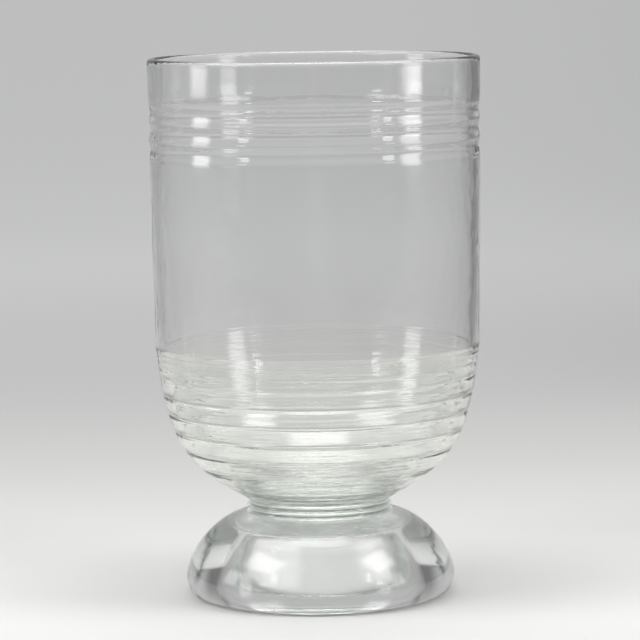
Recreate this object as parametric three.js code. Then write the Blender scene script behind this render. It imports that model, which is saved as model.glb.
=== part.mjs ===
// Footed clear-glass vase: a tall straight bowl with a ribbed, rounded bottom, on a thick bell-shaped foot.
// Millimetres, +Z up. The origin is on the axis of the vase, on the plane that it stands on.
//
// The vase is three pieces of glass, made one by one and joined hot: the foot, the collar and the bowl.
// Every piece is a body of revolution about Z, so each one is a closed outline turned round the axis.
// An outline is a list of [radius, height] points that runs anticlockwise: out along the underside, up the
// outside, over the top and back down the inside to the axis.

import * as THREE from 'three';

// ---- overall sizes ----
const VASE_HEIGHT = 280;
const BOWL_RADIUS = 86;       // outside, at the rim
const WALL = 4;               // glass thickness of the bowl's wall
const FACETS = 48;            // flats round a full turn
const SEAM_GAP = 0.3;         // clearance between two joined pieces

// ---- foot: a thick bell, hollow underneath ----
const FOOT_RADIUS = 70;
const FOOT_HEIGHT = 44;
const FOOT_WIDEST_AT = 10.5;  // height at which the foot is widest
const REST_OUTER_RADIUS = 60; // the flat ring that stands on the table
const REST_INNER_RADIUS = 56.6;
const HEEL_PULLS = [[66.5, 0], [FOOT_RADIUS, 4]];          // shape the curve from the ring out to the edge
const SHOULDER_PULLS = [[69, 26], [52, 42.5]];             // and the one from the edge up to the collar
const HOLLOW_HEIGHT = 34;     // height of the hollow's ceiling
const HOLLOW_EDGE = [44.5, 33.4];                          // rim of the ceiling, where it turns down
const HOLLOW_EDGE_PULLS = [[45.3, 33.1], [45.9, 31.5]];
const HOLLOW_WALL = [46.8, 29];                            // top of the hollow's wall
const HOLLOW_WALL_PULLS = [[50, 20], [53, 11]];
const HOLLOW_MOUTH = [55.6, 2];

// ---- collar: the short neck between foot and bowl ----
const COLLAR_RADIUS = 38;
const COLLAR_BOTTOM = FOOT_HEIGHT + SEAM_GAP;
const COLLAR_TOP = 51.2;
const COLLAR_FLUTES = 2;      // shallow hollows round the collar
const COLLAR_FLUTE_DEPTH = 0.8;

// ---- bowl ----
const BOWL_BOTTOM = COLLAR_TOP + SEAM_GAP;
const CREASE_AT = 131;        // height of the crease between the rounded, ribbed flank and the straight wall
const CREASE_RADIUS = 84.1;
const FLANK_PULLS = [[70, 69], [78.7, 80]];                // shape the curve from the collar up to the crease
const WALL_SLOPE = 0.012;     // how much the wall opens out just above the crease
const WALL_STRAIGHT_FROM = 235;
const WALL_GAIN = 0.9;        // how much thicker the glass is round the floor than at the rim
const BOWL_FLOOR = 61;        // height of the inside of the bowl's floor, on the axis
const FLOOR_BEND = 4;         // height over which the inside turns into the floor
const RIB_PITCH = 9.5;        // height from one groove to the next, at the bottom and below the rim
const FIRST_GROOVE = 58.6;
const RIB_COUNT = 7;
const SWELL = 0.45;           // how far the round ribs stand out between their grooves
const SWELL_MIDDLE = 0.64;    // a rib's average swell, taken off so that ribs don't make the bowl bigger
const GROOVE_DEPTHS = [0.5, 0.5, 0.5, 0.5, 0.5, 0.5, 0.14];  // each narrow groove's depth, from the lowest up
const GROOVE_WIDTH = 0.8;
const RIM_GROOVES = 3;        // shallow grooves below the rim
const RIM_GROOVE_DEPTH = 0.75;
const RIM_FOLLOW = 0.9;       // how much of those grooves shows on the inside
const TOP_GROOVE = 252.5;
const RIM_STEP = 0.4;         // the band above the grooves stands out this far
const RIM_STEP_HEIGHT = 11.4;
const WALL_TOP = VASE_HEIGHT - WALL / 2;
const POINTS_PER_RIB = 4;

const { smoothstep } = THREE.MathUtils;

/** Points along a cubic Bezier curve from a to b, without a itself. */
function curve(a, pullA, pullB, b, steps) {
  const bezier = new THREE.CubicBezierCurve(
    new THREE.Vector2(...a),
    new THREE.Vector2(...pullA),
    new THREE.Vector2(...pullB),
    new THREE.Vector2(...b),
  );
  return bezier.getPoints(steps).slice(1).map((point) => [point.x, point.y]);
}

/** Turns an outline of [radius, height] points round the Z axis into a closed solid. */
function turned(outline) {
  const points = outline.map(([radius, height]) => new THREE.Vector2(radius, height));
  const geometry = new THREE.LatheGeometry(points, FACETS);
  geometry.rotateX(Math.PI / 2);
  return geometry;
}

/** A named piece of the vase's clear, faintly green glass. */
function glassPiece(name, outline) {
  const material = new THREE.MeshStandardMaterial({
    color: 0xdfe6e1,
    roughness: 0.03,
    metalness: 0,
    transparent: true,
    opacity: 0.35,
  });
  const mesh = new THREE.Mesh(turned(outline), material);
  mesh.name = name;
  return mesh;
}

/** The foot: the hollow's ceiling and wall, standing ring, round outer edge, domed shoulder and flat top. */
function footOutline() {
  const edge = [FOOT_RADIUS, FOOT_WIDEST_AT];
  const shoulderEnd = [COLLAR_RADIUS + 0.5, FOOT_HEIGHT];
  return [
    [0, HOLLOW_HEIGHT],
    HOLLOW_EDGE,
    ...curve(HOLLOW_EDGE, ...HOLLOW_EDGE_PULLS, HOLLOW_WALL, 4),
    ...curve(HOLLOW_WALL, ...HOLLOW_WALL_PULLS, HOLLOW_MOUTH, 5),
    [REST_INNER_RADIUS, 0],
    [REST_OUTER_RADIUS, 0],
    ...curve([REST_OUTER_RADIUS, 0], ...HEEL_PULLS, edge, 5),
    ...curve(edge, ...SHOULDER_PULLS, shoulderEnd, 10),
    [0, FOOT_HEIGHT],
  ];
}

/** The collar: a solid disc whose side is a stack of shallow flutes. */
function collarOutline() {
  const outline = [[0, COLLAR_BOTTOM], [COLLAR_RADIUS, COLLAR_BOTTOM]];
  const steps = COLLAR_FLUTES * POINTS_PER_RIB;
  for (let step = 1; step < steps; step += 1) {
    const height = THREE.MathUtils.lerp(COLLAR_BOTTOM, COLLAR_TOP, step / steps);
    const flute = Math.abs(Math.sin((Math.PI * step) / POINTS_PER_RIB));
    outline.push([COLLAR_RADIUS - COLLAR_FLUTE_DEPTH * flute, height]);
  }
  outline.push([COLLAR_RADIUS, COLLAR_TOP], [0, COLLAR_TOP]);
  return outline;
}

/** The smooth curve of the flank, from the collar up to the crease. */
function flank(steps) {
  const start = [COLLAR_RADIUS, BOWL_BOTTOM];
  return [start, ...curve(start, ...FLANK_PULLS, [CREASE_RADIUS, CREASE_AT], steps)];
}

const FLANK = flank(120);

/** The outside radius at a height, without ribs and grooves. */
function smoothRadius(height) {
  if (height < CREASE_AT) {
    const above = Math.max(1, FLANK.findIndex((point) => point[1] >= height));
    const [radiusA, heightA] = FLANK[above - 1];
    const [radiusB, heightB] = FLANK[above];
    return THREE.MathUtils.mapLinear(height, heightA, heightB, radiusA, radiusB);
  }
  const span = WALL_STRAIGHT_FROM - CREASE_AT;
  const t = Math.min(1, (height - CREASE_AT) / span);
  const rise = BOWL_RADIUS - RIM_STEP - CREASE_RADIUS;
  const opening = span * WALL_SLOPE * t * (1 - t) ** 2 + rise * t * t * (3 - 2 * t);
  return CREASE_RADIUS + opening + RIM_STEP * smoothstep(height, TOP_GROOVE, TOP_GROOVE + RIM_STEP_HEIGHT);
}

/** How far ribs and grooves move the glass outwards at a height. */
function relief(height) {
  let out = 0;
  const turn = (height - FIRST_GROOVE) / RIB_PITCH;
  const nearest = Math.round(turn);
  if (nearest >= 0 && nearest < GROOVE_DEPTHS.length) {
    const away = ((turn - nearest) * RIB_PITCH) / GROOVE_WIDTH;
    out -= GROOVE_DEPTHS[nearest] * Math.exp(-away * away);
  }
  const share = smoothstep(turn, -1, 0) * (1 - smoothstep(turn, 1, RIB_COUNT));
  out += SWELL * share * (Math.abs(Math.sin(Math.PI * turn)) - SWELL_MIDDLE);
  const rimTurn = (height - TOP_GROOVE) / RIB_PITCH + RIM_GROOVES - 0.5;
  if (rimTurn > 0 && rimTurn < RIM_GROOVES) {
    out -= RIM_GROOVE_DEPTH * Math.sin(Math.PI * rimTurn) ** 2;
  }
  return out;
}

/** The glass is a little thicker towards the floor. */
function thickness(height) {
  return WALL + WALL_GAIN * (1 - smoothstep(height, BOWL_FLOOR, WALL_STRAIGHT_FROM));
}

/** Heights of the points that draw the grooves below the rim. */
function rimGrooveHeights() {
  const lowest = TOP_GROOVE - (RIM_GROOVES - 0.5) * RIB_PITCH;
  const steps = RIM_GROOVES * POINTS_PER_RIB;
  return Array.from({ length: steps + 1 }, (_, step) => lowest + (step * RIB_PITCH) / POINTS_PER_RIB);
}

/** The outside of the bowl: ribbed flank, crease, straight wall, grooves and rim band. */
function bowlOutside() {
  const heights = [];
  for (let groove = 0; groove < GROOVE_DEPTHS.length; groove += 1) {
    const at = FIRST_GROOVE + groove * RIB_PITCH;
    heights.push(at - 1.5 * GROOVE_WIDTH, at, at + 1.5 * GROOVE_WIDTH, at + RIB_PITCH / 2);
  }
  heights.push(CREASE_AT, 165, 200, ...rimGrooveHeights(), TOP_GROOVE + RIM_STEP_HEIGHT);
  const outside = heights.map((height) => [smoothRadius(height) + relief(height), height]);
  return [[COLLAR_RADIUS, BOWL_BOTTOM], ...outside];
}

/** The round lip, from the outside of the wall over to the inside. */
function rimArc() {
  const lip = [];
  const steps = 6;
  for (let step = 0; step <= steps; step += 1) {
    const angle = (Math.PI * step) / steps;
    const radius = BOWL_RADIUS - WALL / 2 + (WALL / 2) * Math.cos(angle);
    lip.push([radius, WALL_TOP + (WALL / 2) * Math.sin(angle)]);
  }
  return lip;
}

/** The inside, from the lip to the middle of the floor: the outside moved in by the wall. */
function bowlInside() {
  const inside = [TOP_GROOVE + RIM_STEP_HEIGHT, ...rimGrooveHeights().reverse(), 200, 165, CREASE_AT + 1].map(
    (height) => [smoothRadius(height) - thickness(height) + RIM_FOLLOW * relief(height), height],
  );
  const outer = flank(24).reverse();
  for (let index = 0; index + 1 < outer.length; index += 1) {
    const [radius, height] = outer[index];
    const [radiusBelow, heightBelow] = outer[index + 1];
    const run = Math.hypot(radius - radiusBelow, height - heightBelow);
    const deep = thickness(height) / run;
    const point = [radius - deep * (height - heightBelow), height + deep * (radius - radiusBelow)];
    if (point[1] < CREASE_AT && point[1] > BOWL_FLOOR + FLOOR_BEND) inside.push(point);
  }
  const [before, edge] = inside.slice(-2);
  const slope = (before[0] - edge[0]) / (before[1] - edge[1]);
  const pull = [edge[0] - slope * (edge[1] - BOWL_FLOOR), BOWL_FLOOR];
  return [...inside, ...curve(edge, pull, [pull[0] / 2, BOWL_FLOOR], [0, BOWL_FLOOR], 8)];
}

/** The bowl: flat seat on the collar, outside, lip and inside. */
function bowlOutline() {
  return [[0, BOWL_BOTTOM], ...bowlOutside(), ...rimArc(), ...bowlInside()];
}

const vase = new THREE.Group();
vase.add(glassPiece('foot', footOutline()));
vase.add(glassPiece('collar', collarOutline()));
vase.add(glassPiece('bowl', bowlOutline()));

export default vase;
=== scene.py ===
"""Looks of the footed glass vase: clear, faintly green blown glass on a pale studio sweep. Metres, +Z up."""

import math

import bpy
from mathutils import Matrix, Vector, noise


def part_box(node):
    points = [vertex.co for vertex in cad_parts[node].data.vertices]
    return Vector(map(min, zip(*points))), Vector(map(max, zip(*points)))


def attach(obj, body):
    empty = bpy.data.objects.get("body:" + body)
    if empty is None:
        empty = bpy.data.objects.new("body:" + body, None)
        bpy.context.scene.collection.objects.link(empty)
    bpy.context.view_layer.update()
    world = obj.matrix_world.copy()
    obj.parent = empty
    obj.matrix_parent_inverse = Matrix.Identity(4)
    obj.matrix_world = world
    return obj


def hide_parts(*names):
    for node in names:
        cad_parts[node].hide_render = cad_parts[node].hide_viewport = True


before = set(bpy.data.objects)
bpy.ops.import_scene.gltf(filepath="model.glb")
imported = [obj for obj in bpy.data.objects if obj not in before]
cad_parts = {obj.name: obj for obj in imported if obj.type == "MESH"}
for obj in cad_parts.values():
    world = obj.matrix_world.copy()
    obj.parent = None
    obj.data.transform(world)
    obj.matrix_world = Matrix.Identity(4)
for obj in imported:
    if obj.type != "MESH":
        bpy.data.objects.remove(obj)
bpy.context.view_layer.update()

MM = 0.001
SEED = 11

# ---- sizes that come from the frame ----
foot_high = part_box("foot")[1]
collar_low, collar_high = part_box("collar")
bowl_low, bowl_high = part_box("bowl")
FOOT_RADIUS = foot_high[0]
COLLAR_RADIUS = collar_high[0]
BOWL_RADIUS = bowl_high[0]
VASE_HEIGHT = bowl_high[2]
FOOT_JOINT = (foot_high[2] + collar_low[2]) / 2
BOWL_JOINT = (collar_high[2] + bowl_low[2]) / 2

# ---- the glass's own sizes; most are the CAD model's ----
JOINT_GAP = 0.02 * MM          # keeps the faces of two joined pieces apart for the ray tracer
WALL = 4 * MM
FOOT_WIDEST_AT = 10.5 * MM
REST_OUTER_RADIUS = 60 * MM
REST_INNER_RADIUS = 56.6 * MM
HOLLOW_HEIGHT = 34 * MM
HOLLOW_TOP_RADIUS = 44.5 * MM
HOLLOW_EDGE_HEIGHT = 33.4 * MM
HOLLOW_WALL = (46.8 * MM, 29 * MM)
HOLLOW_MOUTH = (55.6 * MM, 2 * MM)
HOLLOW_EDGE_PULLS = [(45.3 * MM, 33.1 * MM), (45.9 * MM, 31.5 * MM)]   # the pulls shape the foot's curves
HOLLOW_WALL_PULLS = [(50 * MM, 20 * MM), (53 * MM, 11 * MM)]
MOUTH_PULLS = [(55.8 * MM, 0.9 * MM), (56 * MM, 0.0)]
HEEL_PULLS = [(66.5 * MM, 0.0), (FOOT_RADIUS, 4 * MM)]
SHOULDER_PULLS = [(69 * MM, 26 * MM), (52 * MM, 42.3 * MM)]
COLLAR_FLUTE_DEPTH = 0.8 * MM
FLANK_RADIUS = 84.1 * MM
FLANK_PULLS = [(70 * MM, 69 * MM), (78.7 * MM, 80 * MM)]
FLANK_TOP = 131 * MM           # the crease between the straight wall and the rounded, ribbed flank
WALL_SLOPE = 0.012             # how much the wall opens out just above the crease
WALL_STRAIGHT_FROM = 235 * MM
WALL_GAIN = 0.9 * MM           # how much thicker the glass is at the bottom than at the rim
BOWL_FLOOR = 61 * MM
RIB_PITCH = 9.5 * MM
FIRST_GROOVE = 58.6 * MM
RIB_COUNT = 7
SWELL = 0.45 * MM              # how far the ribs stand out between their grooves
SWELL_MIDDLE = 0.64            # a rib's average swell, taken off so that ribs don't make the bowl bigger
GROOVE_DEPTHS = [0.5 * MM] * 6 + [0.14 * MM]     # each groove's depth, from the lowest up
GROOVE_WIDTH = 0.8 * MM
FLOOR_BEND = 4 * MM
RIB_FOLLOW = 0.3               # how much of the ribs shows on the inside
RIM_STEP = 0.4 * MM
RIM_GROOVES = 3
RIM_GROOVE_DEPTH = 0.75 * MM
RIM_FOLLOW = 0.9
TOP_GROOVE = 252.5 * MM
SEGMENTS = 192
INSIDE_SAMPLES = 74            # points down the straight wall's inside, one every 2 mm from the rim
FLOOR_STEPS = 40
LIP_STEPS = 16
SLOW_WOBBLE = 0.22 * MM        # hand work's slow waves and finer ones
FINE_WOBBLE = 0.05 * MM
FUSED_SHORT_BY = 1.6 * MM      # the joints fused to about this far inside their rim, give or take the rag
FUSED_RAG = 1.8 * MM


# ---- outlines ----
def bezier(a, pull_a, pull_b, b, steps):
    """Points along a cubic Bezier curve from a to b, without a itself."""
    points = []
    for step in range(1, steps + 1):
        t = step / steps
        u = 1 - t
        weights = (u ** 3, 3 * u * u * t, 3 * u * t * t, t ** 3)
        radius = sum(w * p[0] for w, p in zip(weights, (a, pull_a, pull_b, b)))
        height = sum(w * p[1] for w, p in zip(weights, (a, pull_a, pull_b, b)))
        points.append((radius, height))
    return points


def straight(a, b, steps):
    """Points along a straight line from a to b, without a itself."""
    points = []
    for step in range(1, steps + 1):
        t = step / steps
        points.append((a[0] + (b[0] - a[0]) * t, a[1] + (b[1] - a[1]) * t))
    return points


JOINT_RINGS = (0.6, 1.2, 1.8, 2.4, 3.0, 4.0, 12.0, 24.0)   # millimetres in from the rim


def joint_disc(rim, height):
    """Rings of a joint's flat face, from its rim to the middle, close together where its seam is ragged."""
    return [(rim - inwards * MM, height) for inwards in JOINT_RINGS] + [(0.0, height)]


def foot_outline():
    """From the hollow's ceiling down its wall, over the standing ring and up the outside to the joint."""
    ceiling_edge = (HOLLOW_TOP_RADIUS, HOLLOW_EDGE_HEIGHT)
    edge = (FOOT_RADIUS, FOOT_WIDEST_AT)
    rest_inner = (REST_INNER_RADIUS, 0.0)
    rest_outer = (REST_OUTER_RADIUS, 0.0)
    top = (COLLAR_RADIUS, FOOT_JOINT - JOINT_GAP)
    outline = [(0.0, HOLLOW_HEIGHT)]
    outline += straight(outline[-1], ceiling_edge, 12)
    outline += bezier(ceiling_edge, *HOLLOW_EDGE_PULLS, HOLLOW_WALL, 14)
    outline += bezier(HOLLOW_WALL, *HOLLOW_WALL_PULLS, HOLLOW_MOUTH, 24)
    outline += bezier(HOLLOW_MOUTH, *MOUTH_PULLS, rest_inner, 6)
    outline += straight(rest_inner, rest_outer, 3)
    outline += bezier(rest_outer, *HEEL_PULLS, edge, 16)
    shoulder = (COLLAR_RADIUS + 1.2 * MM, FOOT_JOINT - 0.6 * MM)
    outline += bezier(edge, *SHOULDER_PULLS, shoulder, 44)
    outline += bezier(shoulder, (COLLAR_RADIUS + 0.5 * MM, FOOT_JOINT - 0.4 * MM),
                      (COLLAR_RADIUS + 0.1 * MM, FOOT_JOINT - 0.3 * MM), top, 4)
    joint_from = len(outline) - 1
    outline += joint_disc(COLLAR_RADIUS, top[1])
    return outline, [(joint_from, len(outline) - 1)], (0, 0)


def collar_outline():
    """A solid disc whose side is a stack of shallow flutes."""
    bottom = FOOT_JOINT + JOINT_GAP
    top = BOWL_JOINT - JOINT_GAP
    outline = joint_disc(COLLAR_RADIUS, bottom)[::-1] + [(COLLAR_RADIUS, bottom)]
    low_side = len(outline) - 1
    steps = 40
    for step in range(1, steps):
        t = step / steps
        flute = abs(math.sin(2 * math.pi * t)) ** 0.8
        outline.append((COLLAR_RADIUS - COLLAR_FLUTE_DEPTH * flute, bottom + (top - bottom) * t))
    outline.append((COLLAR_RADIUS, top))
    side_end = len(outline) - 1
    outline += joint_disc(COLLAR_RADIUS, top)
    return outline, [(0, low_side), (side_end, len(outline) - 1)], (low_side, side_end)


FLANK = [(COLLAR_RADIUS, BOWL_JOINT)] + bezier(
    (COLLAR_RADIUS, BOWL_JOINT), *FLANK_PULLS, (FLANK_RADIUS, FLANK_TOP), 160)


def smooth_step(low, high, value):
    t = min(1.0, max(0.0, (value - low) / (high - low)))
    return t * t * (3 - 2 * t)


def smooth_radius(height):
    """The outside of the bowl without its ribs and grooves."""
    if height < FLANK_TOP:
        for (radius_a, height_a), (radius_b, height_b) in zip(FLANK, FLANK[1:]):
            if height <= height_b:
                return radius_a + (radius_b - radius_a) * (height - height_a) / (height_b - height_a)
    rise_over = WALL_STRAIGHT_FROM - FLANK_TOP
    t = min(1.0, (height - FLANK_TOP) / rise_over)
    rise = BOWL_RADIUS - RIM_STEP - FLANK_RADIUS
    radius = FLANK_RADIUS + rise_over * WALL_SLOPE * t * (1 - t) ** 2 + rise * t * t * (3 - 2 * t)
    return radius + RIM_STEP * smooth_step(TOP_GROOVE, TOP_GROOVE + 1.2 * RIB_PITCH, height)


def relief(height):
    """Ribs and grooves: how far the glass stands out from its smooth shape at a height."""
    turn = (height - FIRST_GROOVE) / RIB_PITCH
    nearest = round(turn)
    out = 0.0
    if 0 <= nearest < len(GROOVE_DEPTHS):
        out -= GROOVE_DEPTHS[nearest] * math.exp(-((turn - nearest) * RIB_PITCH / GROOVE_WIDTH) ** 2)
    swell = smooth_step(-1, 0, turn) * (1 - smooth_step(1, RIB_COUNT, turn))
    out += SWELL * swell * (abs(math.sin(math.pi * turn)) - SWELL_MIDDLE)
    groove_turn = (height - TOP_GROOVE) / RIB_PITCH + RIM_GROOVES - 0.5
    if 0 < groove_turn < RIM_GROOVES:
        out -= RIM_GROOVE_DEPTH * math.sin(math.pi * groove_turn) ** 2
    return out


def wall_radius(height):
    """The outside of the bowl at any height, with ribs below and grooves under the rim."""
    return smooth_radius(height) + relief(height)


def thickness(height):
    return WALL + WALL_GAIN * (1 - smooth_step(BOWL_FLOOR, WALL_STRAIGHT_FROM, height))


def inside_line():
    """The smooth inside, from the rim to the middle of the floor, a wall's thickness in from the outside."""
    heights = [VASE_HEIGHT - WALL / 2 - step * 2 * MM for step in range(INSIDE_SAMPLES)]
    line = [(smooth_radius(h) - thickness(h), h) for h in heights if h > FLANK_TOP + 1 * MM]
    for (radius_b, height_b), (radius_a, height_a) in zip(FLANK[::-1], FLANK[-2::-1]):
        run = math.hypot(radius_b - radius_a, height_b - height_a)
        deep = thickness(height_b)
        point = (radius_b - deep * (height_b - height_a) / run, height_b + deep * (radius_b - radius_a) / run)
        if point[1] < FLANK_TOP and point[1] > BOWL_FLOOR + FLOOR_BEND:
            line.append(point)
    edge = line[-1]
    before = line[-2]
    slope = (before[0] - edge[0]) / (before[1] - edge[1])
    pull = (edge[0] - slope * FLOOR_BEND, BOWL_FLOOR)
    return line + bezier(edge, pull, (pull[0] / 2, BOWL_FLOOR), (0.0, BOWL_FLOOR), FLOOR_STEPS)


INSIDE = inside_line()


def inside_radius(height):
    """The inside of the bowl at a height. It follows the ribs and grooves faintly, as blown glass does."""
    for (radius_a, height_a), (radius_b, height_b) in zip(INSIDE, INSIDE[1:]):
        if height >= height_b:
            t = (height_a - height) / (height_a - height_b)
            follow = RIM_FOLLOW if height > FLANK_TOP else RIB_FOLLOW * smooth_step(70 * MM, 90 * MM, height)
            return radius_a + (radius_b - radius_a) * t + follow * relief(height)
    return INSIDE[-1][0]


def wall_heights(low, high, fine):
    """Heights up a wall, close together where it is ribbed or grooved."""
    heights = [low]
    while heights[-1] < high:
        at = heights[-1]
        in_ribs = at < FIRST_GROOVE + (RIB_COUNT - 0.5) * RIB_PITCH
        in_grooves = TOP_GROOVE - RIM_GROOVES * RIB_PITCH < at < TOP_GROOVE + 1.5 * RIB_PITCH
        near_crease = abs(at - FLANK_TOP) < 2 * MM
        if in_ribs or near_crease:
            rise = fine
        elif in_grooves:
            rise = 1.6 * fine
        else:
            rise = 3 * MM
        heights.append(min(high, at + rise))
    return heights


def bowl_outline():
    """Seat on the collar, ribbed flank, wall, lip, and the inside down to its rounded floor."""
    bottom = BOWL_JOINT + JOINT_GAP
    outline = joint_disc(COLLAR_RADIUS, bottom)[::-1] + [(COLLAR_RADIUS, bottom)]
    seat_end = len(outline) - 1
    wall_top = VASE_HEIGHT - WALL / 2
    outline += [(wall_radius(h), h) for h in wall_heights(bottom, wall_top, 0.5 * MM)[1:]]
    outside_end = len(outline) - 1
    for step in range(1, LIP_STEPS + 1):
        angle = math.pi * step / LIP_STEPS
        radius = BOWL_RADIUS - WALL / 2 + WALL / 2 * math.cos(angle)
        outline.append((radius, wall_top + WALL / 2 * math.sin(angle)))
    inner = wall_heights(BOWL_FLOOR + FLOOR_BEND + 1 * MM, wall_top, 1.2 * MM)[:-1]
    outline += [(inside_radius(h), h) for h in reversed(inner)]
    floor = [point for point in INSIDE[-FLOOR_STEPS::2] if point[1] < BOWL_FLOOR + FLOOR_BEND]
    outline += floor + [(0.0, BOWL_FLOOR)]
    return outline, [(0, seat_end)], (seat_end, outside_end)


# ---- solids ----
def wobble(radius, height, angle):
    """How far hand work moves a point of the glass outwards: slow waves round the vase and up it."""
    x = math.cos(angle)
    y = math.sin(angle)
    slow = noise.noise(Vector((1.4 * x, 1.4 * y, height * 9 + 3)))
    fine = noise.noise(Vector((5 * x, 5 * y, height * 40 + 9)))
    reach = min(1.0, radius / (30 * MM))
    return reach * (SLOW_WOBBLE * slow + FINE_WOBBLE * fine)


def fused_reach(step):
    """The radius to which the hot joint fused: beyond it a ragged line of air stays in the seam."""
    angle = 2 * math.pi * step / SEGMENTS
    rag = noise.noise(Vector((9 * math.cos(angle), 9 * math.sin(angle), SEED)))
    return COLLAR_RADIUS - FUSED_SHORT_BY + FUSED_RAG * rag


def turned(name, outline, joints, worked, material, slot):
    """Turns an outline round Z into a closed mesh.

    Faces in the joints' spans are marked, so they don't bend light. So are those in the worked span, which
    the tools touched from outside.
    """
    count = len(outline)
    vertices = []
    rings = []
    for radius, height in outline:
        if radius == 0.0:
            rings.append([len(vertices)])
            vertices.append((0.0, 0.0, height))
            continue
        rings.append(list(range(len(vertices), len(vertices) + SEGMENTS)))
        for step in range(SEGMENTS):
            angle = 2 * math.pi * step / SEGMENTS
            r = radius + wobble(radius, height, angle)
            vertices.append((r * math.cos(angle), r * math.sin(angle), height))
    faces = []
    marks = []
    tooled = []
    for index in range(count - 1):
        low = rings[index]
        high = rings[index + 1]
        in_joint = any(start <= index < end for start, end in joints)
        middle = (outline[index][0] + outline[index + 1][0]) / 2
        for step in range(SEGMENTS):
            after = (step + 1) % SEGMENTS
            if len(low) == 1:
                face = (low[0], high[after], high[step])
            elif len(high) == 1:
                face = (low[step], low[after], high[0])
            else:
                face = (low[step], low[after], high[after], high[step])
            faces.append(face)
            marks.append(1.0 if in_joint and middle < fused_reach(step) else 0.0)
            tooled.append(1.0 if worked[0] <= index < worked[1] else 0.0)
    mesh = bpy.data.meshes.new(name)
    mesh.from_pydata(vertices, [], faces)
    attribute = mesh.attributes.new("joint", "FLOAT", "FACE")
    attribute.data.foreach_set("value", marks)
    attribute = mesh.attributes.new("worked", "FLOAT", "FACE")
    attribute.data.foreach_set("value", tooled)
    mesh.materials.append(material)
    mesh.polygons.foreach_set("use_smooth", [True] * len(faces))
    mesh.update()
    joint_rims = {index for span in joints for index in span if len(rings[index]) > 1}
    rim_of = {vertex: index for index in joint_rims for vertex in rings[index]}
    for edge in mesh.edges:
        a, b = edge.vertices
        if a in rim_of and rim_of.get(b) == rim_of[a]:
            edge.use_edge_sharp = True
    piece = bpy.data.objects.new(name, mesh)
    bpy.context.collection.objects.link(piece)
    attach(piece, "root")
    return piece


# ---- materials ----
class Nodes:
    """The shader nodes of a material, light or world, with short ways to add and join them."""

    def __init__(self, owner):
        owner.use_nodes = True
        self.owner = owner
        self.nodes = owner.node_tree.nodes
        self.links = owner.node_tree.links

    def set(self, node, **inputs):
        """Gives a node's inputs their values or links. Underscores in the names stand for spaces."""
        for key, value in inputs.items():
            socket = self.nodes[node].inputs[key.replace("_", " ")]
            if isinstance(value, bpy.types.NodeSocket):
                self.links.new(value, socket)
            else:
                socket.default_value = value

    def add(self, kind, inputs=None, **settings):
        node = self.nodes.new("ShaderNode" + kind)
        for key, value in settings.items():
            setattr(node, key, value)
        for key, value in (inputs or {}).items():
            if isinstance(value, bpy.types.NodeSocket):
                self.links.new(value, node.inputs[key])
            else:
                node.inputs[key].default_value = value
        return node.outputs

    def maths(self, operation, *values):
        return self.add("Math", dict(enumerate(values)), operation=operation)["Value"]

    def between(self, value, low, high, to_low=0.0, to_high=1.0):
        """A smooth change from to_low to to_high as the value goes from low to high."""
        inputs = {"Value": value, "From Min": low, "From Max": high, "To Min": to_low, "To Max": to_high}
        return self.add("MapRange", inputs, interpolation_type="SMOOTHSTEP")["Result"]

    def blend(self, share, a, b):
        """The colour a where share is 0 and b where it is 1."""
        inputs = {0: share}
        for key, colour in ((6, a), (7, b)):
            inputs[key] = (*colour, 1) if isinstance(colour, tuple) else colour
        return self.add("Mix", inputs, data_type="RGBA")[2]

    def ramp(self, value, stops):
        """A colour that depends on a value from 0 to 1, given as stops of (value, colour or single tone)."""
        outputs = self.add("ValToRGB", {"Fac": value})
        ramp = outputs["Color"].node.color_ramp
        while len(ramp.elements) < len(stops):
            ramp.elements.new(0.5)
        for element, (at, tone) in zip(ramp.elements, stops):
            element.position = at
            element.color = (*tone, 1) if isinstance(tone, tuple) else (tone, tone, tone, 1)
        return outputs["Color"]

    def moved(self, position, scale, reach):
        """The position, moved about at random by up to reach, in patches of 1 / scale metres."""
        noise_colour = self.add("TexNoise", {"Vector": position, "Scale": scale, "Detail": 3.0})["Color"]
        inputs = {0: noise_colour, 1: (2 * reach,) * 3, 2: (-reach,) * 3}
        shift = self.add("VectorMath", inputs, operation="MULTIPLY_ADD")["Vector"]
        return self.add("VectorMath", {0: position, 1: shift}, operation="ADD")["Vector"]

    def length(self, vector, scale=(1, 1, 1)):
        """The length of a vector whose parts are first multiplied by scale."""
        scaled = self.add("VectorMath", {0: vector, 1: scale}, operation="MULTIPLY")["Vector"]
        return self.add("VectorMath", {0: scaled}, operation="LENGTH")["Value"]

    def grain(self, position, scale, detail=2.0):
        """Noise whose grains can be stretched: scale is grains per metre along x, y and z."""
        spread = self.add("Mapping", {"Vector": position, "Scale": scale})["Vector"]
        return self.add("TexNoise", {"Vector": spread, "Scale": 1.0, "Detail": detail})["Fac"]


def painted_shade_streak(made, position, start, end, width):
    """A mask of painted shade: 1 along a thin ragged line between two points on the near side, 0 away from
    it.
    """
    along = Vector(end) - Vector(start)
    place = made.moved(position, 260.0, 2.5 * MM)
    offset = made.add("VectorMath", {0: place, 1: tuple(start)}, operation="SUBTRACT")["Vector"]
    inputs = {0: offset, 1: tuple(along / along.length_squared)}
    share = made.add("VectorMath", inputs, operation="DOT_PRODUCT")["Value"]
    share = made.maths("MAXIMUM", made.maths("MINIMUM", share, 1.0), 0.0)
    nearest = made.add("VectorMath", {0: tuple(along), "Scale": share}, operation="SCALE")["Vector"]
    away = made.add("VectorMath", {0: offset, 1: nearest}, operation="SUBTRACT")["Vector"]
    near_side = made.between(made.add("SeparateXYZ", {"Vector": position})["Y"], -4 * MM, 0.0, 1.0, 0.0)
    dark = made.between(made.length(away, (1, 0, 1)), 0.0, width, 0.9, 0.0)
    return made.maths("MULTIPLY", dark, near_side)


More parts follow.
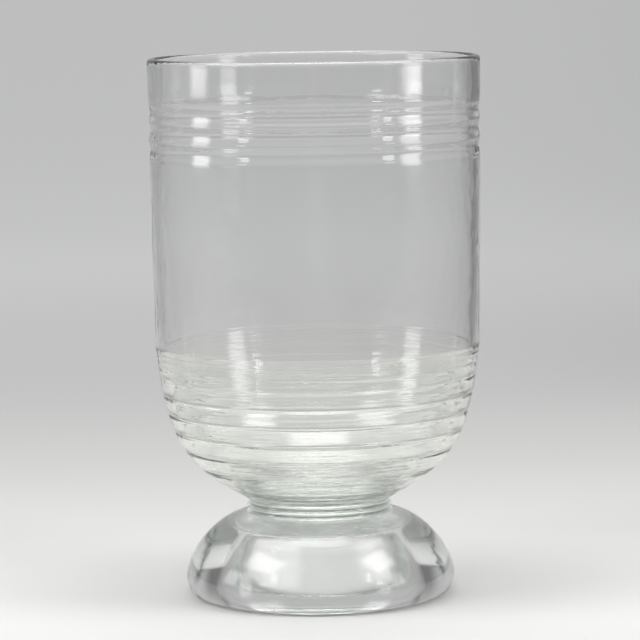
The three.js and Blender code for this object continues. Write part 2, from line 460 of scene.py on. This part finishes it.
def glass(name, ripple_zone, ripple_depth, tint, rough_zone=None, hollow_roughness=0.0, shade_streaks=()):
    """Clear hand-worked glass.

    The tools left ripples on the outside up to the height ripple_zone, where the glass has the colour tint.
    rough_zone is the lowest height, highest height and radius of a mottled rough face over the foot's hollow.
    Joint faces, marked on the mesh, pass light straight through.
    """
    made = Nodes(bpy.data.materials.new(name))
    made.set("Principled BSDF", Transmission_Weight=1, IOR=GLASS_IOR)
    joint = made.add("Attribute", attribute_name="joint")["Fac"]
    bend = made.add("MapRange", {"Value": joint, "To Min": GLASS_IOR, "To Max": 1.0})["Result"]
    made.set("Principled BSDF", IOR=bend)

    position = made.add("NewGeometry")["Position"]
    height = made.add("SeparateXYZ", {"Vector": position})["Z"]
    radius = made.length(position, (1, 1, 0))
    worked = made.add("Attribute", attribute_name="worked")["Fac"]
    rippled = made.between(height, ripple_zone - 2 * MM, ripple_zone + 1 * MM, 1.0, 0.0)
    rippled = made.maths("MULTIPLY", rippled, worked)
    fine = made.maths("MULTIPLY", made.grain(position, FINE_RIPPLES), 0.3)
    waves = made.maths("ADD", made.grain(position, BROAD_RIPPLES), fine)
    waves = made.maths("MULTIPLY", waves, rippled)
    skin = made.maths("MULTIPLY", made.grain(position, SKIN_WAVES, 1.0), 0.25)
    surface = made.maths("ADD", waves, skin)
    bump = made.add("Bump", {"Height": surface, "Strength": 1.0, "Distance": ripple_depth})["Normal"]
    made.set("Principled BSDF", Normal=bump)

    seed = made.add("TexVoronoi", {"Vector": position, "Scale": 1 / SEED_SPACING})["Distance"]
    seeds = made.between(seed, 0.0, SEED_RADIUS / SEED_SPACING, 1.0, 0.0)
    smudges = made.between(made.grain(position, SMUDGES, 4.0), 0.5, 0.75, 0.0, 0.03)
    rough = made.maths("ADD", smudges, made.maths("MULTIPLY", rippled, 0.01))
    rough = made.maths("ADD", rough, made.maths("MULTIPLY", seeds, 0.5))
    colour = made.blend(rippled, (1, 1, 1), tint)
    if rough_zone:
        low, high, reach = rough_zone
        above = made.between(height, low - 0.4 * MM, low)
        face = made.maths("MULTIPLY", above, made.between(height, high, high + 0.4 * MM, 1.0, 0.0))
        face = made.maths("MULTIPLY", face, made.between(radius, reach, reach + 1 * MM, 1.0, 0.0))
        mottle = made.between(made.grain(position, MOTTLING, 3.0), 0.3, 0.7, 0.14, 0.26)
        rough = made.maths("ADD", rough, made.maths("MULTIPLY", face, mottle))
        within = made.between(radius, HOLLOW_MOUTH[0], HOLLOW_MOUTH[0] + 2 * MM, hollow_roughness, 0.0)
        below = made.between(height, low - 1 * MM, low, 1.0, 0.0)
        rough = made.maths("ADD", rough, made.maths("MULTIPLY", below, within))
        colour = made.blend(face, colour, ROUGH_TINT)
    colour = made.blend(seeds, colour, SEED_TINT)
    # painted shade: dark streaks blended into the glass's colour
    for start, end, width in shade_streaks:
        colour = made.blend(painted_shade_streak(made, position, start, end, width), colour, PAINTED_SHADE_TINT)
    made.set("Principled BSDF", Roughness=rough, Base_Color=colour)

    volume = made.add("VolumeAbsorption", {"Color": (*GLASS_TINT, 1), "Density": GLASS_DENSITY})["Volume"]
    made.set("Material Output", Volume=volume)
    return made.owner


GLASS_IOR = 1.5
GLASS_TINT = (0.76, 0.86, 0.79)
GLASS_DENSITY = 3
FINE_RIPPLES = (3, 3, 480)      # grains per metre along x, y and z
BROAD_RIPPLES = (4, 4, 210)
SKIN_WAVES = (90, 90, 60)
SMUDGES = (16, 16, 11)
MOTTLING = (300, 300, 300)
SEED_SPACING = 20 * MM          # tiny seeds trapped in the glass: about how far apart, and how big
SEED_RADIUS = 0.45 * MM
SEED_TINT = (0.25, 0.27, 0.25)
FOOT_RIPPLE = 0.06 * MM         # how deep each piece's ripples are
COLLAR_RIPPLE = 0.12 * MM
BOWL_RIPPLE = 0.42 * MM
COLLAR_TINT = (0.94, 0.97, 0.93)
RIB_TINT = (0.985, 1.0, 0.955)
HOLLOW_ROUGHNESS = 0.07
ROUGH_TINT = (0.88, 0.92, 0.88)
# the colour of the painted shade streaks on the foot
PAINTED_SHADE_TINT = (0.05, 0.06, 0.06)
HOLLOW_CEILING = (HOLLOW_EDGE_HEIGHT - 1 * MM, HOLLOW_HEIGHT + 0.4 * MM, HOLLOW_TOP_RADIUS)
FOOT_SHADE_STREAKS = [                # painted shade: dark ragged streaks on the foot's near side, in place of the dark folds its glass shows there: start, end and half width
    ((-57.5 * MM, 0, 29.5 * MM), (-64.0 * MM, 0, 12.5 * MM), 2.2 * MM),
    ((58.0 * MM, 0, 27.5 * MM), (63.8 * MM, 0, 13.5 * MM), 1.8 * MM),
]
foot_material = glass(
    "foot_glass", 0.0, FOOT_RIPPLE, (1, 1, 1), HOLLOW_CEILING, HOLLOW_ROUGHNESS, FOOT_SHADE_STREAKS)
foot = turned("foot_glass", *foot_outline(), foot_material, "foot_glass")
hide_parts("foot")
collar_material = glass("collar_glass", VASE_HEIGHT, COLLAR_RIPPLE, COLLAR_TINT)
collar = turned("collar_glass", *collar_outline(), collar_material, "collar_glass")
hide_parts("collar")
bowl_material = glass("bowl_glass", FLANK_TOP, BOWL_RIPPLE, RIB_TINT)
bowl = turned("bowl_glass", *bowl_outline(), bowl_material, "bowl_glass")
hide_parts("bowl")


# ---- stage ----
FLOOR_REACH = 25.0
TONES_REACH = 2.4              # metres from the vase over which the paper's tone changes
FLOOR_TONES = [                # distance from the vase's middle, and the paper's colour there, which carries painted light and shade
    (0.0, (0.83, 0.83, 0.815)),
    (0.10, (0.79, 0.79, 0.775)),
    (0.20, (0.714, 0.714, 0.70)),
    (0.45, (0.67, 0.67, 0.66)),
    (0.80, (0.66, 0.66, 0.658)),
    (1.3, (0.68, 0.682, 0.683)),
    (TONES_REACH, (0.71, 0.715, 0.72)),
]
BACK_GLOW_FROM = 0.5           # painted light: the paper glows from here outwards, as a backdrop with its own soft lighting would
BACK_GLOW_FULL = 2.0
BACK_GLOW = 0.22
SIDE_STARTS_BEFORE = 1.8       # the painted light on the paper widens towards the back, like a cone from here
SIDE_FROM = 0.12               # painted shade on the paper starts this far aside, for each metre along that cone
SIDE_FULL = 0.26
SIDE_STRETCH = 0.4             # the light tones reach 2.5 times as far to the sides
SIDE_NEAR = 0.6                # but not closer to the vase than this
SIDE_FAR = 1.0
LEFT_TONE = 0.68
RIGHT_TONE = 0.46
RIGHT_DIMMER = 0.08            # painted shade: the right of the paper is a little darker than the left
FRONT_FROM = -0.5              # and painted shade in front of the vase
FRONT_FULL = -1.2
FRONT_TONE = 0.35
POOLS = [                      # glow on the paper under the foot, in place of the light it gathers there:
                               # x, y, half width, half depth, strength
    (0.0, 0.0, 0.060, 0.060, 0.20),
    (-0.030, 0.010, 0.022, 0.026, 0.14),
    (0.034, 0.006, 0.017, 0.024, 0.14),
    (-0.012, -0.036, 0.030, 0.008, 0.14),
]
POOL_EDGE = 0.6
POOL_RUFFLES = 70.0
POOL_RUFFLE_REACH = 10 * MM


def floor_material():
    """Pale paper with painted light and shade: lightest round the vase and darker away from it, to the sides
    and in front, with painted glow far off and under the foot.
    """
    made = Nodes(bpy.data.materials.new("floor_paper"))
    position = made.add("NewGeometry")["Position"]
    place = made.add("SeparateXYZ", {"Vector": position})
    distance = made.length(position)
    reach = made.maths("DIVIDE", made.length(position, (SIDE_STRETCH, 1, 1)), TONES_REACH)
    paper = made.ramp(reach, [(far / TONES_REACH, tone) for far, tone in FLOOR_TONES])
    cone = made.maths("ADD", made.maths("MAXIMUM", place["Y"], 0.0), SIDE_STARTS_BEFORE)
    across = made.maths("DIVIDE", place["X"], cone)
    far = made.between(distance, SIDE_NEAR, SIDE_FAR)
    loss = made.between(place["X"], -0.2, 0.2, 1.0 - LEFT_TONE, 1.0 - RIGHT_TONE)
    loss = made.maths("MULTIPLY", loss, made.between(made.maths("ABSOLUTE", across), SIDE_FROM, SIDE_FULL))
    loss = made.maths("ADD", loss, made.between(across, 0.0, 0.14, 0.0, RIGHT_DIMMER))
    side = made.maths("SUBTRACT", 1.0, made.maths("MULTIPLY", loss, far))
    front = made.between(place["Y"], FRONT_FULL, FRONT_FROM, FRONT_TONE, 1.0)
    shade = made.maths("MULTIPLY", side, front)
    toned = made.add("VectorMath", {0: paper, 1: shade}, operation="MULTIPLY")["Vector"]
    glow = made.between(distance, BACK_GLOW_FROM, BACK_GLOW_FULL, 0.0, BACK_GLOW)
    glow = made.maths("MULTIPLY", glow, shade)
    ruffled = made.moved(position, POOL_RUFFLES, POOL_RUFFLE_REACH)
    for x, y, half_width, half_depth, strength in POOLS:
        offset = made.add("VectorMath", {0: ruffled, 1: (x, y, 0)}, operation="SUBTRACT")["Vector"]
        spread = made.length(offset, (1 / half_width, 1 / half_depth, 0))
        glow = made.maths("ADD", glow, made.between(spread, POOL_EDGE, 1.0, strength, 0.0))
    made.set("Principled BSDF", Base_Color=toned, Roughness=0.9, Specular_IOR_Level=0.1,
             Emission_Color=(1, 1, 1, 1), Emission_Strength=glow)
    return made.owner


def build_floor():
    mesh = bpy.data.meshes.new("floor")
    corners = [(x * FLOOR_REACH, y * FLOOR_REACH, -0.1 * MM) for x, y in ((-1, -1), (1, -1), (1, 1), (-1, 1))]
    mesh.from_pydata(corners, [], [(0, 1, 2, 3)])
    mesh.materials.append(floor_material())
    floor = bpy.data.objects.new("floor", mesh)
    bpy.context.collection.objects.link(floor)


SOFTBOX_EDGE = 0.28            # share of a softbox over which it fades at each edge
SOFTBOX_MIDDLE = 1.41          # its brightness along a middle line, so that the whole keeps its power


def softbox(name, place, target, width, height, power):
    """A lamp behind a rectangle of cloth, which is brightest in the middle and fades towards its edges."""
    light = bpy.data.lights.new(name, "AREA")
    light.shape = "RECTANGLE"
    light.size = width
    light.size_y = height
    light.energy = power
    made = Nodes(light)
    spot = made.add("NewGeometry")["Parametric"]
    centred = made.add("VectorMath", {0: spot, 1: (0.5, 0.5, 0)}, operation="SUBTRACT")["Vector"]
    sides = made.add("SeparateXYZ", {"Vector": centred})
    fades = [made.between(made.maths("ABSOLUTE", sides[axis]), 0.5, 0.5 - SOFTBOX_EDGE, 0.0, SOFTBOX_MIDDLE)
             for axis in "XY"]
    made.set("Emission", Strength=made.maths("MULTIPLY", *fades))
    box = bpy.data.objects.new(name, light)
    bpy.context.collection.objects.link(box)
    box.location = place
    box.rotation_euler = (Vector(target) - Vector(place)).to_track_quat("-Z", "Y").to_euler()


build_floor()
LIGHTS = [                     # name, degrees round from the front and up, distance, width, height, watts
    ("softbox_left", -84, 11.5, 1.3, 0.46, 0.62, 1.9),
    ("softbox_low_left", -50, 11, 1.3, 0.22, 0.16, 0.35),
    ("softbox_low_right", 52, 11, 1.3, 0.18, 0.16, 0.3),
    ("softbox_right", 69, 11.5, 1.3, 0.46, 0.62, 1.7),
    ("softbox_high_left", -66, 42, 1.35, 1.10, 0.70, 6.5),
    ("softbox_high_right", 68, 42, 1.35, 0.80, 0.70, 5.2),
    ("softbox_top", 0, 88, 1.2, 1.00, 0.80, 6.5),
]
LIGHTS_AIM = (0, 0, 0.15)
for name, round_by, up_by, distance, width, height, power in LIGHTS:
    flat = distance * math.cos(math.radians(up_by))
    place = (flat * math.sin(math.radians(round_by)), -flat * math.cos(math.radians(round_by)),
             LIGHTS_AIM[2] + distance * math.sin(math.radians(up_by)))
    softbox(name, place, LIGHTS_AIM, width, height, power)

HORIZON_TONES = [              # how far towards the back a direction points, and the room's tone there
    (0.0, 0.20),
    (0.40, 0.22),
    (0.60, 0.18),
    (0.85, 0.16),
    (0.93, 0.44),
    (1.0, 0.46),
]
CEILING_TONE = 0.45
CEILING_FROM = 0.15            # the share of up in a direction where the walls end and the ceiling starts
CEILING_FULL = 0.7


def build_room():
    """A soft room: a lit ceiling, a pale wall behind, and dimmer walls round the rest."""
    world = bpy.data.worlds.new("room")
    bpy.context.scene.world = world
    made = Nodes(world)
    way = made.add("SeparateXYZ", {"Vector": made.add("TexCoord")["Generated"]})
    towards = made.maths("MULTIPLY_ADD", way["Y"], 0.5, 0.5)
    walls = made.ramp(towards, HORIZON_TONES)
    up = made.between(way["Z"], CEILING_FROM, CEILING_FULL)
    made.set("Background", Color=made.blend(up, walls, (CEILING_TONE,) * 3))


build_room()

# ---- camera ----
CAMERA_DISTANCE = 1.818
CAMERA_HEIGHT = 0.343
CAMERA_PITCH = math.radians(6.27)
CAMERA_ROLL = math.radians(-0.82)
LENS_PER_SENSOR = 5.501        # focal length over sensor width
SENSOR_WIDTH = 36
CAMERA_SHIFT = 0.0046

camera_data = bpy.data.cameras.new("camera")
camera_data.sensor_width = SENSOR_WIDTH
camera_data.lens = LENS_PER_SENSOR * SENSOR_WIDTH
camera_data.shift_x = CAMERA_SHIFT
camera = bpy.data.objects.new("camera", camera_data)
bpy.context.collection.objects.link(camera)
turn = Matrix.Rotation(math.pi / 2 - CAMERA_PITCH, 4, "X") @ Matrix.Rotation(CAMERA_ROLL, 4, "Z")
camera.matrix_world = Matrix.Translation((0, -CAMERA_DISTANCE, CAMERA_HEIGHT)) @ turn
bpy.context.scene.camera = camera
bpy.context.scene.view_settings.view_transform = "Standard"
bpy.context.scene.cycles.max_bounces = 32
bpy.context.scene.cycles.transmission_bounces = 32
bpy.context.scene.cycles.glossy_bounces = 16
